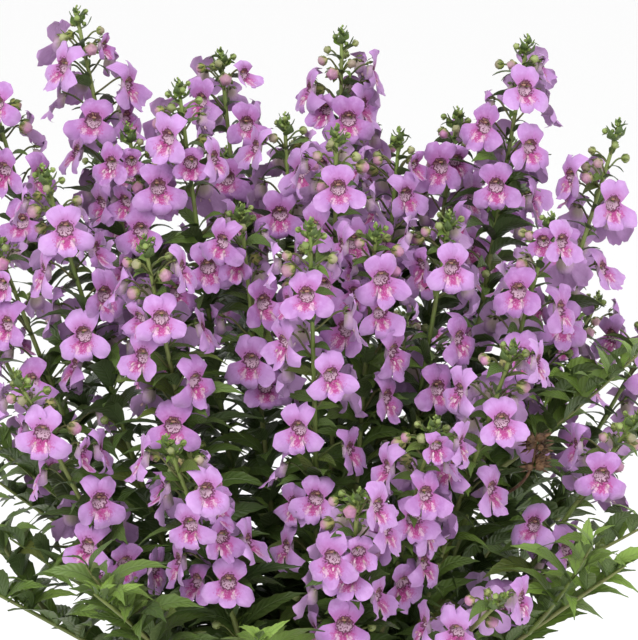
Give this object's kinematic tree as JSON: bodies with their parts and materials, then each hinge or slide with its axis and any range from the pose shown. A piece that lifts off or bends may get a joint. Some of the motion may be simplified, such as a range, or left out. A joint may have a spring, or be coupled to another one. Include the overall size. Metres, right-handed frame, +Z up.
{
  "type": "potted angelonia",
  "caption": "Bushy flowering bedding plant with upright racemes of mauve two-lipped blooms and toothed leaves, rooted in soil in a plain round pot.",
  "frame": {"origin": "centre of the pot's flat underside", "axes": "+Z up along the pot's axis, -Y towards the front that the picture shows, +X to the right seen from the front"},
  "size_m": [0.3378, 0.3174, 0.454],
  "materials": {
    "pot_plastic": "matte",
    "potting_soil": "matte",
    "petals": "satin",
    "foliage": "satin"
  },
  "bodies": {
    "root": {"pot": "pot_plastic", "potting_soil": "potting_soil", "flowering_stem_01": "petals", "flowering_stem_02": "petals", "flowering_stem_03": "petals", "flowering_stem_04": "petals", "flowering_stem_05": "petals", "flowering_stem_06": "petals", "flowering_stem_07": "petals", "flowering_stem_08": "petals", "flowering_stem_09": "petals", "flowering_stem_10": "petals", "flowering_stem_11": "petals", "flowering_stem_12": "petals", "flowering_stem_13": "petals", "flowering_stem_14": "petals", "flowering_stem_15": "petals", "flowering_stem_16": "petals", "flowering_stem_17": "petals", "flowering_stem_18": "petals", "flowering_stem_19": "petals", "flowering_stem_20": "petals", "flowering_stem_21": "petals", "flowering_stem_22": "petals", "flowering_stem_23": "petals", "flowering_stem_24": "petals", "flowering_stem_25": "petals", "flowering_stem_26": "petals", "flowering_stem_27": "petals", "flowering_stem_28": "petals", "flowering_stem_29": "petals", "flowering_stem_30": "petals", "flowering_stem_31": "petals", "flowering_stem_32": "petals", "flowering_stem_33": "petals", "flowering_stem_34": "petals", "flowering_stem_35": "petals", "flowering_stem_36": "petals", "leafy_shoot_01": "foliage", "leafy_shoot_02": "foliage", "leafy_shoot_03": "foliage", "leafy_shoot_04": "foliage", "leafy_shoot_05": "foliage", "leafy_shoot_06": "foliage", "leafy_shoot_07": "foliage", "leafy_shoot_08": "foliage"}
  },
  "joints": []
}
